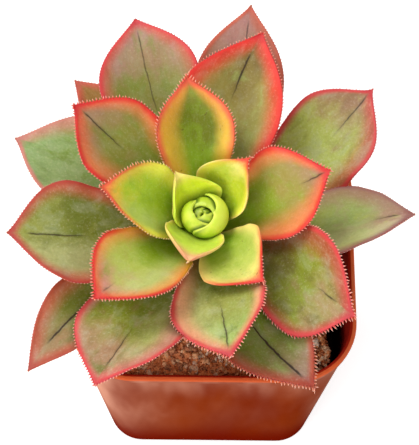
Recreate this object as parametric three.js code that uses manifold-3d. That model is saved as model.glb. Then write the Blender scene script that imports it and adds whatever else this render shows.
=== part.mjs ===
// Potted kiwi aeonium: a succulent rosette in a square plastic nursery pot.
// Millimetres, +Z up. The origin is the middle of the pot's flat underside.
import * as THREE from 'three';
import { mergeVertices } from 'three/addons/utils/BufferGeometryUtils.js';
import Module from 'manifold-3d';

const wasm = await Module();
wasm.setup();

const rad = THREE.MathUtils.degToRad;
const clamp = THREE.MathUtils.clamp;
const lerp = THREE.MathUtils.lerp;

// Clearance between neighbouring pieces
const GAP = 0.3;

// Points closer together than this are one point
const SAME_POINT = 1e-5;

// Square pot, a thin tapered shell with soft corners
const POT_HEIGHT = 59;
const POT_TOP = 63.5;
const POT_BOTTOM = 49;
const POT_CORNER_TOP = 14;
const POT_CORNER_BOTTOM = 8;
const POT_WALL = 1;
const POT_FLOOR = 1.5;
const POT_EDGE = 1.5;
const EDGE_CUT = 0.3;
const RIM_HEIGHT = 2;
const RIM_OUT = 0.5;
const DRAIN_RADIUS = 3;
const DRAIN_PLACE = 15;
const DRAIN_SIDES = 12;
const CORNER_STEPS = 5;

// Soil, a little below the rim and never quite level
const SOIL_TOP = 54;
const SOIL_BUMP = 0.7;
const SOIL_WAVES = [6, 7];
const SOIL_PHASES = [0.4, -0.9];
const SOIL_RINGS = 5;

// Stem: heights and radii, round an axis that leans as it rises
const STEM_HEIGHTS = [42, 54, 60, 68, 70.5];
const STEM_RADII = [4.3, 4.3, 4, 2.8, 2.2];
const STEM_SIDES = 10;
const AXIS_AT_SOIL = [-1, 1];
const AXIS_LEAN = [-0.064, -0.024];

// The spiral: each older leaf sits one golden angle further round and a step lower
const FIRST_AZIMUTH = 122;
const GOLDEN_ANGLE = 137.5;
const FIRST_FOOT = 68;
const FOOT_STEP = 0.55;

// How a leaf opens with age: steepness of its foot and curl across its blade
const riseAt = (place) => 17 + 49 * Math.exp(-place / 8);
const curlAt = (place) => 24 + 38 * Math.exp(-place / 5);

// Blade: thickness, and the half width along it as a share of the widest
const BLADE_THICKNESS = 2.2;
const BLADE_THINNING = 0.45;
const FOOT_SHARE = 0.26;
const TIP_POWER = 2.1;
const CUSP_POWER = 4;
const BLADE_SOFTNESS = 0.8;
const MARGIN_SHARE = 0.12;
const FOOT_DEPTH = 1;
const BLADE_STATIONS = 11;
const BLADE_SIDES = 12;

// Open leaves, youngest first. place: place in the spiral; turn: degrees off the golden angle;
// reach and tip: how far out and how high the tip stands; widest: where along the blade it is
// widest; power, where it differs: how full the blade stays towards its tip; cusp: how hollow the
// margins run into the point; sway: sideways bow; roll: degrees that the tip is turned about the
// midrib.
const LEAVES = [
  { place: 0, turn: 11, reach: 10, tip: 81, width: 16, widest: 0.5, power: 1.4, cusp: 0.5, sway: 0.4 },
  { place: 1, turn: -5, reach: 14, tip: 79, width: 15.5, widest: 0.62, cusp: 0.7, sway: -1, roll: -5 },
  { place: 2, turn: 10, reach: 13.5, tip: 83, width: 16, widest: 0.54, power: 1.7,
    cusp: 0.8, sway: 0.8, roll: -5 },
  { place: 3, turn: 0, reach: 23, tip: 83, width: 19, widest: 0.56, cusp: 0.65 },
  { place: 4, turn: -8, reach: 21.5, tip: 79, width: 18, widest: 0.6, power: 1.5,
    cusp: 0.2, sway: -0.6, roll: 30 },
  { place: 5, turn: 10, reach: 28.5, tip: 86.5, width: 18.5, widest: 0.64, cusp: 0.7, roll: 5 },
  { place: 6, turn: -2, reach: 33, tip: 81, width: 20.5, widest: 0.64, cusp: 0.45, sway: -0.5, roll: 5 },
  { place: 7, turn: 9, reach: 27, tip: 84, width: 22, widest: 0.6, cusp: 0.5, sway: 0.5, roll: 15 },
  { place: 8, turn: 2, reach: 36.5, tip: 84.5, width: 22.5, widest: 0.68,
    cusp: 0.55, sway: -0.5, roll: 10 },
  { place: 9, turn: -1, reach: 34.5, tip: 76.5, width: 22, widest: 0.62, cusp: 0.35, roll: 25 },
  { place: 10, turn: 17, reach: 43.5, tip: 83, width: 25.5, widest: 0.56, cusp: 0.4, sway: 3 },
  { place: 11, turn: -5, reach: 43.5, tip: 79, width: 25, widest: 0.68, cusp: 0.6, sway: 1, roll: -5 },
  { place: 12, turn: -8, reach: 39, tip: 72.5, width: 24, widest: 0.68, cusp: 0.7, sway: 2, roll: 55 },
  { place: 13, turn: 0, reach: 51, tip: 78.5, width: 24, widest: 0.7, cusp: 0.45, sway: 2 },
  { place: 14, turn: -8, reach: 45.5, tip: 71.5, width: 26, widest: 0.66, cusp: 0.5, sway: -0.5, roll: 30 },
  { place: 16, turn: -6, reach: 47.5, tip: 73, width: 23.5, widest: 0.66, cusp: 0.55, sway: -2 },
  { place: 17, turn: 2, reach: 43.5, tip: 67, width: 20.5, widest: 0.58, cusp: 0.3, sway: -3.5 },
  { place: 18, turn: 3, reach: 54, tip: 77, width: 21.5, widest: 0.62, cusp: 0.5, sway: -0.5 },
  { place: 19, turn: 7, reach: 51, tip: 66, width: 16, widest: 0.62, cusp: 0.35, sway: -4.5, roll: 5 },
  { place: 20, turn: 11, reach: 45.5, tip: 71, width: 21.5, widest: 0.64, cusp: 0.3, roll: -30 },
  { place: 21, turn: 1, reach: 48, tip: 70, width: 16.5, widest: 0.62, cusp: 0.35, sway: -2, roll: 5 },
  { place: 23, turn: -2, reach: 50.5, tip: 72, width: 22.5, widest: 0.7, cusp: 0.8, sway: -1.6 },
];

// Leaves still closed round the growing tip, outermost first. lip: how far from the axis the
// upper edge ends; wrap: degrees that the leaf reaches round to each side.
const BUD_LEAVES = [
  { lip: 2.2, wrap: 105 },
  { lip: 2, wrap: 100 },
  { lip: 1.3, wrap: 95 },
  { lip: 0.5, wrap: 80 },
];
const BUD_FOOT = STEM_HEIGHTS.at(-1) + GAP;
const BUD_FOOT_RADIUS = 2.6;
const BUD_RADIUS = 3.4;
const BUD_WIDEST = 75.2;
const BUD_APEX = 76.6;
const BUD_LEAF_THICKNESS = 0.6;
const BUD_LIP_POWER = 2.4;
const BUD_SOFTNESS = 6;
const BUD_ROWS = 12;
const BUD_RISING_ROWS = 3;
const BUD_COLUMNS = 30;

// Share of the oldest leaf's age at which a leaf is plain green
const FULL_GREEN = 0.4;

// Where the leaning stem axis stands at height z
function axisAt(z) {
  const rise = z - SOIL_TOP;
  return [AXIS_AT_SOIL[0] + AXIS_LEAN[0] * rise, AXIS_AT_SOIL[1] + AXIS_LEAN[1] * rise];
}

// Straight-line reading of a list of values over a list of rising places
function readAlong(places, values, at) {
  let k = 1;
  while (k < places.length - 1 && at > places[k]) k += 1;
  const share = clamp((at - places[k - 1]) / (places[k] - places[k - 1]), 0, 1);
  return lerp(values[k - 1], values[k], share);
}

const stemRadius = (z) => readAlong(STEM_HEIGHTS, STEM_RADII, z);

// Closed mesh from rings with equal counts, counter-clockwise seen from the last ring's side.
// Each end is closed by a fan to its own point.
function skinRings(rings, startPoint, endPoint) {
  const count = rings[0].length;
  const points = [...rings.flat(), startPoint, endPoint];
  const start = points.length - 2;
  const end = points.length - 1;
  const index = [];
  for (let r = 0; r + 1 < rings.length; r += 1) {
    for (let i = 0; i < count; i += 1) {
      const a = r * count + i;
      const b = r * count + ((i + 1) % count);
      index.push(a, b, b + count, a, b + count, a + count);
    }
  }
  const last = (rings.length - 1) * count;
  for (let i = 0; i < count; i += 1) {
    const next = (i + 1) % count;
    index.push(start, next, i);
    index.push(end, last + i, last + next);
  }
  const geometry = new THREE.BufferGeometry();
  geometry.setAttribute('position', new THREE.Float32BufferAttribute(points.flat(), 3));
  geometry.setIndex(index);
  return geometry;
}

// Middle of a ring of points
function middleOf(ring) {
  return [0, 1, 2].map((k) => ring.reduce((sum, point) => sum + point[k], 0) / ring.length);
}

function toSolid(geometry) {
  const bare = geometry.clone();
  bare.deleteAttribute('normal');
  bare.deleteAttribute('uv');
  const merged = mergeVertices(bare, SAME_POINT);
  return new wasm.Manifold(new wasm.Mesh({
    numProp: 3,
    vertProperties: new Float32Array(merged.attributes.position.array),
    triVerts: new Uint32Array(merged.index.array),
  }));
}

function toGeometry(solid) {
  const mesh = solid.getMesh();
  const geometry = new THREE.BufferGeometry();
  const positions = new THREE.BufferAttribute(new Float32Array(mesh.vertProperties), 3);
  geometry.setAttribute('position', positions);
  geometry.setIndex(new THREE.BufferAttribute(new Uint32Array(mesh.triVerts), 1));
  geometry.computeVertexNormals();
  return geometry;
}

// The largest body of a solid: a cut may leave a loose scrap
function largestBody(solid) {
  const bodies = solid.decompose();
  return bodies.reduce((best, body) => (body.volume() > best.volume() ? body : best));
}

// Square with rounded corners, counter-clockwise seen from above
function roundedSquare(side, corner, z) {
  const centre = side / 2 - corner;
  const ring = [];
  for (let quarter = 0; quarter < 4; quarter += 1) {
    const middle = rad(45 + 90 * quarter);
    const x = centre * Math.sign(Math.cos(middle));
    const y = centre * Math.sign(Math.sin(middle));
    for (let step = 0; step <= CORNER_STEPS; step += 1) {
      const angle = rad(90 * quarter + (90 * step) / CORNER_STEPS);
      ring.push([x + corner * Math.cos(angle), y + corner * Math.sin(angle), z]);
    }
  }
  return ring;
}

// The pot's tapered outline at height z, drawn in by inset
function potRing(z, inset) {
  const share = z / POT_HEIGHT;
  const side = lerp(POT_BOTTOM, POT_TOP - 2 * RIM_OUT, share) - 2 * inset;
  return roundedSquare(side, lerp(POT_CORNER_BOTTOM, POT_CORNER_TOP, share) - inset, z);
}

function makePot() {
  const rimFoot = POT_HEIGHT - RIM_HEIGHT;
  const outside = [
    potRing(0, POT_EDGE),
    potRing(POT_EDGE * EDGE_CUT, POT_EDGE * EDGE_CUT),
    potRing(POT_EDGE, 0),
    potRing(rimFoot - RIM_OUT, 0),
    potRing(rimFoot, -RIM_OUT),
    potRing(POT_HEIGHT, -RIM_OUT),
  ];
  const inside = [
    potRing(POT_HEIGHT, POT_WALL),
    potRing(POT_FLOOR + POT_EDGE, POT_WALL),
    potRing(POT_FLOOR, POT_WALL + POT_EDGE),
  ];
  let pot = toSolid(skinRings([...outside, ...inside], [0, 0, 0], [0, 0, POT_FLOOR]));
  for (const x of [-DRAIN_PLACE, DRAIN_PLACE]) {
    for (const y of [-DRAIN_PLACE, DRAIN_PLACE]) {
      const drill = new THREE.CylinderGeometry(DRAIN_RADIUS, DRAIN_RADIUS, 4 * POT_FLOOR, DRAIN_SIDES);
      drill.rotateX(Math.PI / 2).translate(x, y, POT_FLOOR / 2);
      pot = pot.subtract(toSolid(drill));
    }
  }
  return pot;
}

// Low waves on the soil: no two sides alike
function soilHeight(x, y) {
  const east = Math.sin(x / SOIL_WAVES[0] + SOIL_PHASES[0]);
  const north = Math.cos(y / SOIL_WAVES[1] + SOIL_PHASES[1]);
  return SOIL_TOP + SOIL_BUMP * east * north;
}

function makeSoil(stemRoom) {
  const inset = POT_WALL + GAP;
  const sides = [
    potRing(POT_FLOOR + GAP, inset + POT_EDGE),
    potRing(POT_FLOOR + GAP + POT_EDGE, inset),
    potRing(SOIL_TOP - SOIL_BUMP, inset),
  ];
  const brim = potRing(SOIL_TOP, inset);
  const top = [];
  for (let ring = 0; ring < SOIL_RINGS; ring += 1) {
    const share = 1 - ring / SOIL_RINGS;
    top.push(brim.map(([x, y]) => [x * share, y * share, soilHeight(x * share, y * share)]));
  }
  const rings = [...sides, ...top.slice(1)];
  const soil = skinRings(rings, [0, 0, POT_FLOOR + GAP], [0, 0, soilHeight(0, 0)]);
  return toSolid(soil).subtract(stemRoom);
}

// The stem, or with grow the room that it needs
function makeStem(grow) {
  const rings = STEM_HEIGHTS.map((height, k) => {
    const end = k === 0 ? -1 : Number(k === STEM_HEIGHTS.length - 1);
    const z = height + end * grow;
    const [x, y] = axisAt(z);
    const radius = STEM_RADII[k] + grow;
    return Array.from({ length: STEM_SIDES }, (_, i) => {
      const angle = (2 * Math.PI * i) / STEM_SIDES;
      return [x + radius * Math.cos(angle), y + radius * Math.sin(angle), z];
    });
  });
  return toSolid(skinRings(rings, middleOf(rings[0]), middleOf(rings.at(-1))));
}

// Half width of a blade at t, as a share of its widest: a soft neck, then a pointed tip
function halfShare(t, { widest, power = TIP_POWER, cusp }) {
  const neck = FOOT_SHARE + (1 - FOOT_SHARE) * THREE.MathUtils.smoothstep(t, 0, widest);
  const beyond = Math.max(0, (t - widest) / (1 - widest));
  return neck * (1 - beyond ** power) * (1 - cusp * beyond ** CUSP_POWER);
}

// The midrib: a quadratic curve from the stem to the tip, in the upright plane of the leaf
function midrib(leaf) {
  const footHeight = FIRST_FOOT - FOOT_STEP * leaf.place;
  const foot = new THREE.Vector2(stemRadius(footHeight) - FOOT_DEPTH, footHeight);
  const tip = new THREE.Vector2(leaf.reach, leaf.tip);
  const rise = rad(riseAt(leaf.place));
  const run = foot.distanceTo(tip) / 2;
  const bend = new THREE.Vector2(foot.x + run * Math.cos(rise), foot.y + run * Math.sin(rise));
  return new THREE.QuadraticBezierCurve(foot, bend, tip);
}

// One leaf blade, or with grow the room that it needs: a pointed, cupped lens round the midrib
function makeLeaf(leaf, grow) {
  const curve = midrib(leaf);
  const azimuth = rad(FIRST_AZIMUTH + GOLDEN_ANGLE * leaf.place + leaf.turn);
  const out = [Math.cos(azimuth), Math.sin(azimuth)];
  const side = [-Math.sin(azimuth), Math.cos(azimuth)];
  const centre = axisAt(curve.v0.y);
  const curl = rad(curlAt(leaf.place));
  const place = (r, z, across) => [
    centre[0] + r * out[0] + across * side[0],
    centre[1] + r * out[1] + across * side[1],
    z,
  ];
  const rings = [];
  for (let station = 0; station < BLADE_STATIONS; station += 1) {
    const t = station / BLADE_STATIONS;
    const at = curve.getPoint(t);
    const along = curve.getTangent(t);
    const half = (leaf.width / 2) * halfShare(t, leaf) + grow;
    const narrowing = Math.min(1, half / (leaf.width * MARGIN_SHARE));
    const thick = BLADE_THICKNESS * (1 - BLADE_THINNING * t) * narrowing;
    const sway = (leaf.sway ?? 0) * 4 * t * (1 - t);
    const roll = rad(leaf.roll ?? 0) * t;
    const ring = [];
    for (let i = 0; i < BLADE_SIDES; i += 1) {
      const angle = (2 * Math.PI * i) / BLADE_SIDES;
      const bend = curl * Math.cos(angle);
      const swell = Math.sign(Math.sin(angle)) * Math.abs(Math.sin(angle)) ** BLADE_SOFTNESS;
      const across = (half * Math.sin(bend)) / curl + sway;
      const up = (half * (1 - Math.cos(bend))) / curl + swell * (thick / 2 + grow);
      const rolledAcross = across * Math.cos(roll) - up * Math.sin(roll);
      const rolledUp = across * Math.sin(roll) + up * Math.cos(roll);
      ring.push(place(at.x - rolledUp * along.y, at.y + rolledUp * along.x, rolledAcross));
    }
    rings.push(ring);
  }
  const tip = curve.getPoint(1);
  const last = curve.getTangent(1);
  const tipPoint = place(tip.x + grow * last.x, tip.y + grow * last.y, 0);
  return toSolid(skinRings(rings, middleOf(rings[0]), tipPoint));
}

// How far each closed leaf covers the bud's dome at azimuth turn and share of the way to the apex
function budCover(leaf, rank, turn, closing) {
  const azimuth = FIRST_AZIMUTH - GOLDEN_ANGLE * (rank + 1);
  const aside = Math.abs(THREE.MathUtils.euclideanModulo(turn - azimuth + 180, 360) - 180);
  const lip = Math.acos(leaf.lip / BUD_RADIUS) / (Math.PI / 2);
  const reach = 1 - Math.min(1, closing / lip) ** BUD_LIP_POWER;
  return THREE.MathUtils.smoothstep(leaf.wrap * reach - aside, -BUD_SOFTNESS, BUD_SOFTNESS);
}

// The growing tip, or with grow the room that it needs: a dome with its closed leaves in relief
function makeBud(grow) {
  const rings = [];
  for (let row = 0; row < BUD_ROWS; row += 1) {
    const rising = Math.min(1, row / BUD_RISING_ROWS);
    const closing = Math.max(0, (row - BUD_RISING_ROWS) / (BUD_ROWS - BUD_RISING_ROWS));
    const arc = (closing * Math.PI) / 2;
    const dome = lerp(BUD_FOOT_RADIUS, BUD_RADIUS, Math.sin((rising * Math.PI) / 2)) * Math.cos(arc);
    const ring = [];
    for (let i = 0; i < BUD_COLUMNS; i += 1) {
      const turn = (360 * i) / BUD_COLUMNS;
      const covers = BUD_LEAVES.map((leaf, rank) => budCover(leaf, rank, turn, closing));
      const layers = covers.reduce((sum, cover) => sum + cover, 0);
      const skin = grow + BUD_LEAF_THICKNESS * layers * rising;
      const radius = dome + skin * Math.cos(arc);
      const low = lerp(BUD_FOOT - grow, BUD_WIDEST, rising);
      const height = low + (BUD_APEX - BUD_WIDEST + skin) * Math.sin(arc);
      const [x, y] = axisAt(height);
      ring.push([x + radius * Math.cos(rad(turn)), y + radius * Math.sin(rad(turn)), height]);
    }
    rings.push(ring);
  }
  const apex = [...axisAt(BUD_APEX), BUD_APEX + grow];
  return toSolid(skinRings(rings, middleOf(rings[0]), apex));
}

const plant = new THREE.Group();

function addPiece(name, solid, colour, roughness) {
  const material = new THREE.MeshStandardMaterial({ color: colour, roughness, metalness: 0 });
  const mesh = new THREE.Mesh(toGeometry(solid), material);
  mesh.name = name;
  plant.add(mesh);
}

// Young leaves are lime, older ones green from the age FULL_GREEN on, then olive and brown
function leafColour(place) {
  const lime = new THREE.Color(0xb9cf3c);
  const green = new THREE.Color(0x7d9a48);
  const olive = new THREE.Color(0x8b7d55);
  const age = place / LEAVES.at(-1).place;
  if (age < FULL_GREEN) return lime.lerp(green, age / FULL_GREEN);
  return green.lerp(olive, (age - FULL_GREEN) / (1 - FULL_GREEN));
}

const stemRoom = makeStem(GAP);
addPiece('pot', makePot(), 0xb5532f, 0.45);
addPiece('soil', makeSoil(stemRoom), 0x5d4232, 0.95);
addPiece('stem', makeStem(0), 0x7c6a45, 0.8);
addPiece('bud', makeBud(0), 0xc4da4b, 0.5);

// Each leaf gives way to the stem, the bud and every younger leaf
let taken = stemRoom.add(makeBud(GAP));
LEAVES.forEach((leaf, k) => {
  const name = `leaf_${String(k + 1).padStart(2, '0')}`;
  addPiece(name, largestBody(makeLeaf(leaf, 0).subtract(taken)), leafColour(leaf.place), 0.5);
  taken = taken.add(makeLeaf(leaf, GAP));
});

export default plant;
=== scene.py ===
# Potted kiwi aeonium: the looks of the plant, its soil and its pot, round the fixed frame.
import math
from types import SimpleNamespace

import bmesh
import bpy
from mathutils import Matrix, Vector, noise


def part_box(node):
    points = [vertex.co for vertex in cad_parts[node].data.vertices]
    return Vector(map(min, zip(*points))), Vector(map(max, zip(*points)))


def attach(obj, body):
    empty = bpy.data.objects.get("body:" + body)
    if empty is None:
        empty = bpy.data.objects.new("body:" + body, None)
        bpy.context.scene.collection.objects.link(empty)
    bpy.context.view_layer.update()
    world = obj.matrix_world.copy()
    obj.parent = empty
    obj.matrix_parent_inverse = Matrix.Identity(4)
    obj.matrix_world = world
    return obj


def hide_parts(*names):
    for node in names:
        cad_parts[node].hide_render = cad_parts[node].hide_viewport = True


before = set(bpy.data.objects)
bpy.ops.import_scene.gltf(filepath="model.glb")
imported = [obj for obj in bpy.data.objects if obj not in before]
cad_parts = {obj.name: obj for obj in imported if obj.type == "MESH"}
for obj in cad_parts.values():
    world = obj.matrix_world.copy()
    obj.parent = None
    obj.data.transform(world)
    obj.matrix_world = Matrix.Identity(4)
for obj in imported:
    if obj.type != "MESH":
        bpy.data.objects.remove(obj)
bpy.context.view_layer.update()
MM = 0.001
TAU = 2 * math.pi

# The view of the photograph: a long lens, from above and a little to the right of straight ahead
VIEW_AIM = Vector((-0.7, 16.5, 40)) * MM
VIEW_DISTANCE = 400 * MM
VIEW_AZIMUTH = -1.4
VIEW_ELEVATION = 63
VIEW_ROLL = 1.95
VIEW_LENS = 135
VIEW_SENSOR = 36

# Pot
POT_LOW, POT_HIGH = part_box("pot")
POT_HEIGHT = POT_HIGH.z
POT_TOP = POT_HIGH.x - POT_LOW.x
POT_BOTTOM = 49 * MM
POT_CORNER_TOP = 14 * MM
POT_CORNER_BOTTOM = 8 * MM
POT_WALL = 1 * MM
POT_FLOOR = 1.5 * MM
POT_EDGE = 1.5 * MM
RIM_OUT = 0.5 * MM
RIM_HEIGHT = 2 * MM
RIM_SOFT = RIM_OUT * 0.8
DRAIN_RADIUS = 3 * MM
DRAIN_PLACE = 15 * MM
CORNER_STEPS = 14
SIDE_STEPS = 8
ARC_STEPS = 6
WALL_STEPS = 12
SHARP_ANGLE = math.radians(50)

# The wall's step out to the rim: height from the rim's foot in millimetres, share of RIM_OUT
RIM_STEP = [(-0.7, 0), (-0.4, 0), (-0.1, 0.85), (0.2, 1)]

# Soil
SOIL_TOP = 54 * MM
SOIL_GAP = 0.3 * MM
SOIL_SHADED = 14 * MM
SOIL_DEEPEST = 5 * MM
SOIL_SIDE_RINGS = 6
SOIL_TOP_RINGS = 40
GRAIN_LIFT = 0.15 * MM

# Trenches where the soil has shrunk from the pot's right, front and other walls: width and depth in
# millimetres, and how steep they are
TRENCHES = [(4.6, 14, 2.4), (2.2, 3, 1), (2.5, 3, 1)]

# Its grains, coarse and fine: how many to the square metre, radius, subdivisions, least and greatest
# size, and the first of their seeds
GRAINS = [
    (250000.0, 1.15 * MM, 2, 0.4, 1.1, 11),
    (1300000.0, 0.56 * MM, 1, 0.5, 1.4, 21),
]

# Stem, in millimetres
STEM_HEIGHTS = [42, 54, 60, 68, 70.5]
STEM_RADII = [4.3, 4.3, 4, 2.8, 2.2]
STEM_STEPS = 80
STEM_AROUND = 48
AXIS_AT_SOIL = (-1, 1)
AXIS_LEAN = (-0.064, -0.024)

# The spiral of the leaves, in degrees and millimetres
FIRST_AZIMUTH = 122
GOLDEN_ANGLE = 137.5
FIRST_FOOT = 68
FOOT_STEP = 0.55
FOOT_DEPTH = 1
BLADE_THICKNESS = 2.2
BLADE_WAVE = 2.4
SEED_STEP = 3.7

# What fades from the young leaves to the old ones, angles in degrees: its value in the end, how much
# more the first leaf would have, and over how many places of the spiral that fades
BLADE_RISE = (17, 49, 8)
BLADE_CURL = (24, 38, 5)
BLADE_SOFTNESS = (0.8, -0.35, 3)

# Shape of each open leaf, youngest first: its place in the spiral, degrees off the golden angle,
# reach and height of the tip, widest width, where that is along the blade, and how drawn out the
# tip is. Then power: how full the outline stays beyond its widest place; sway: sideways bow; roll;
# hairs: where along the blade they begin; fur: their size; spine: the length of the tip's spine
LEAF_COLUMNS = ["place", "turn", "reach", "tip", "width", "widest", "cusp"]
LEAF_DEFAULTS = dict(power=2.1, sway=0, roll=0, hairs=0.3, fur=1, spine=0)
LEAVES = [
    (0, 11, 10, 81, 16, 0.5, 0.5, dict(power=1.4, sway=0.4, hairs=2)),
    (1, -5, 14, 79, 15.5, 0.62, 0.7, dict(sway=-1, roll=-5, hairs=2, spine=0.4)),
    (2, 10, 13.5, 83, 16, 0.54, 0.8, dict(power=1.7, sway=0.8, roll=-5, hairs=0.9, fur=0.6, spine=0.8)),
    (3, 0, 23, 83, 19, 0.56, 0.65, dict(hairs=0.35, spine=0.4)),
    (4, -8, 21.5, 79, 18, 0.6, 0.2, dict(power=1.5, sway=-0.6, roll=30, hairs=0.85, fur=0.6, spine=1)),
    (5, 10, 28.5, 86.5, 18.5, 0.64, 0.7, dict(roll=5, spine=2.2)),
    (6, -2, 33, 81, 20.5, 0.64, 0.45, dict(sway=-0.5, roll=5)),
    (7, 9, 27, 84, 22, 0.6, 0.5, dict(sway=0.5, roll=15, fur=0.8, spine=1)),
    (8, 2, 36.5, 84.5, 22.5, 0.68, 0.55, dict(sway=-0.5, roll=10, fur=0.8, spine=0.8)),
    (9, -1, 34.5, 76.5, 22, 0.62, 0.35, dict(roll=25, spine=0.6)),
    (10, 17, 43.5, 83, 25.5, 0.56, 0.4, dict(sway=3, fur=0.7, spine=0.6)),
    (11, -5, 43.5, 79, 25, 0.68, 0.6, dict(sway=1, roll=-5, fur=0.45)),
    (12, -8, 39, 72.5, 24, 0.68, 0.7, dict(sway=2, roll=55, spine=0.6)),
    (13, 0, 51, 78.5, 24, 0.7, 0.45, dict(sway=2, fur=0.45)),
    (14, -8, 45.5, 71.5, 26, 0.66, 0.5, dict(sway=-0.5, roll=30, fur=0.7, spine=0.5)),
    (16, -6, 47.5, 73, 23.5, 0.66, 0.55, dict(sway=-2, fur=0.45)),
    (17, 2, 43.5, 67, 20.5, 0.58, 0.3, dict(sway=-3.5, spine=1.6)),
    (18, 3, 54, 77, 21.5, 0.62, 0.5, dict(sway=-0.5, fur=0.45, spine=0.9)),
    (19, 7, 51, 66, 16, 0.62, 0.35, dict(sway=-4.5, roll=5, fur=0.45)),
    (20, 11, 45.5, 71, 21.5, 0.64, 0.3, dict(roll=-30, fur=0.45)),
    (21, 1, 48, 70, 16.5, 0.62, 0.35, dict(sway=-2, roll=5, fur=0.45)),
    (23, -2, 50.5, 72, 22.5, 0.7, 0.8, dict(sway=-1.6, fur=0.45)),
]

# Leaf colours in daylight
PALETTE = {
    "spring": "#d2ea4c", "citrus": "#dcee26", "zest": "#b4c024", "lemon": "#ebe94a",
    "cream": "#f4e07c", "peach": "#f6b084", "ruddy": "#c8664e", "plum": "#9a6a60",
    "avocado": "#687200", "fescue": "#8c9a26", "leaf": "#86aa16", "fern": "#a8c626",
    "moss": "#759428", "olive": "#6f7c24", "pine": "#607616", "pear": "#b8c656", "sage": "#a2b760",
    "mint": "#94b06c", "khaki": "#9ba048", "hazel": "#9f9244", "bronze": "#8b8c36",
    "tobacco": "#9a7538", "umber": "#755a28", "loam": "#72682e", "clay": "#a98260",
    "mauve": "#b5827a", "blush": "#ce8a7a", "gold": "#f2bc38", "apricot": "#f3a350",
    "salmon": "#f18850", "coral": "#ec6242", "poppy": "#e5362e", "rose": "#d64446",
    "brick": "#ac4c34", "rust": "#bc4c3e",
}

# Finish of each open leaf. Its colours: heart, flesh and tip, the blade from its foot outwards;
# band, the flush inside the margin; rim, the margin itself, and pale, its colour near the foot.
# Then how far in the band reaches, in mm, where the rim turns from pale to red, and the strength of
# the pale blotches. Then lean: how much the band leans to one side; streak: where the dark line on
# the midrib starts and ends, beyond the tip if there is none; line: how broad it is; dots: strength
# of the small dark dots; wedge: how far the band draws back from the midrib, in mm; fair: strength
# of a half painted paler, painted light and sheen on that side, below 0 on the other side; shade: how
# strong the painted shade is under younger leaves
LEAF_COLOURS = ["heart", "flesh", "tip", "band", "rim", "pale"]
FINISH_COLUMNS = ["colours", "reach", "red_from", "bloom"]
FINISH_DEFAULTS = dict(lean=0, streak=(2, 3), line=1, dots=0, wedge=0.8, fair=0, shade=0.5)
FINISHES = [
    ("fern citrus lemon lemon cream spring", 1.6, 0.9, 0, dict()),
    ("spring spring cream lemon peach cream", 1.4, 0.9, 0, dict(shade=0.3)),
    ("leaf zest cream lemon poppy cream", 2, 0.8, 0, dict(dots=0.4)),
    ("leaf fern gold lemon coral lemon", 2.4, 0.65, 0.1, dict(lean=-0.2, fair=0.25)),
    ("leaf pear cream cream poppy cream", 2.4, 0.58, 0.1, dict(dots=0.6)),
    ("leaf avocado bronze gold coral gold", 4.6, 0.38, 0, dict(lean=0.15, dots=1, wedge=3.6)),
    ("leaf pear blush apricot poppy gold", 3, 0.45, 0.2, dict(streak=(0.8, 0.92), fair=0.4)),
    ("leaf hazel clay salmon poppy salmon", 4.5, 0.3, 0.1, dict(lean=-0.2, streak=(0.72, 0.95), wedge=2.5)),
    ("moss bronze clay salmon poppy coral", 4.2, 0.25, 0.2, dict(lean=0.2, streak=(0.58, 0.93))),
    ("pine khaki sage peach rose khaki", 3.4, 0.22, 0.4, dict(lean=-0.2, streak=(0.55, 0.93), fair=-0.25)),
    ("sage hazel umber poppy poppy coral", 3.8, 0.2, 0.25, dict(lean=0.1, streak=(0.6, 0.88), line=1.4)),
    ("olive olive khaki ruddy rust ruddy", 2.8, 0.3, 0.5, dict(streak=(0.55, 0.9), fair=0.5)),
    ("loam fescue clay brick rose brick", 3.6, 0.2, 0.45, dict(lean=0.4, streak=(0.68, 0.86))),
    ("moss bronze mauve ruddy rose rose", 2.8, 0.3, 0.25, dict(streak=(0.5, 0.93), line=0.45)),
    ("pine fescue clay blush rose brick", 3.4, 0.35, 0.5, dict(lean=0.4, streak=(0.6, 0.88), fair=0.25)),
    ("moss mint mint blush blush blush", 2.4, 0.3, 0.5, dict(lean=-0.6)),
    ("moss olive plum brick brick brick", 2.2, 0.4, 0.25, dict(lean=-0.35, streak=(0.35, 0.92), line=2.2)),
    ("umber clay mauve brick ruddy brick", 2, 0.4, 0.2, dict(lean=-0.4, streak=(0.7, 0.92), line=0.6)),
    ("olive olive clay ruddy brick brick", 2.8, 0.3, 0.3, dict(lean=-0.2, streak=(0.4, 0.85), line=1.6)),
    ("pear sage mauve clay plum blush",
     3, 0.4, 0.3, dict(lean=0.35, streak=(0.75, 0.92), fair=-0.5, shade=0.1)),
    ("tobacco tobacco tobacco brick ruddy brick", 2, 0.3, 0, dict()),
    ("pear pear clay ruddy rose clay", 2.6, 0.3, 0.6, dict(lean=-0.5, streak=(0.68, 0.95), shade=0.05)),
]

# Closed leaves of the bud, outermost first: widest radius, radius and height of the upper edge,
# thickness, degrees that the leaf reaches round to each side, the share by which its sides tuck in,
# and how much deeper its green is
BUD_COLUMNS = ["radius", "lip", "top", "thickness", "wrap", "tuck", "deep"]
BUD_LEAVES = [
    (5.6, 2.3, 77.9, 1.344, 102, 0.02, 0),
    (5, 2.1, 77.5, 1.2, 100, 0.22, 0),
    (4.3, 1.3, 77.1, 1.032, 88, 0.28, 0.5),
    (3.3, 0.1, 76.7, 1, 85, 0.26, 0.2),
    (2.5, 0.2, 76.3, 1, 88, 0.2, 0.4),
    (1.7, 0, 76, 1.6, 180, 0, 0.7),
]
BUD_FOOT = 70.8 * MM
BUD_FOOT_RADIUS = 2.6 * MM
BUD_WIDEST = 75.2 * MM
BUD_BEND = 0.6
BUD_STATIONS = 49
BUD_AROUND = 73

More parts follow.
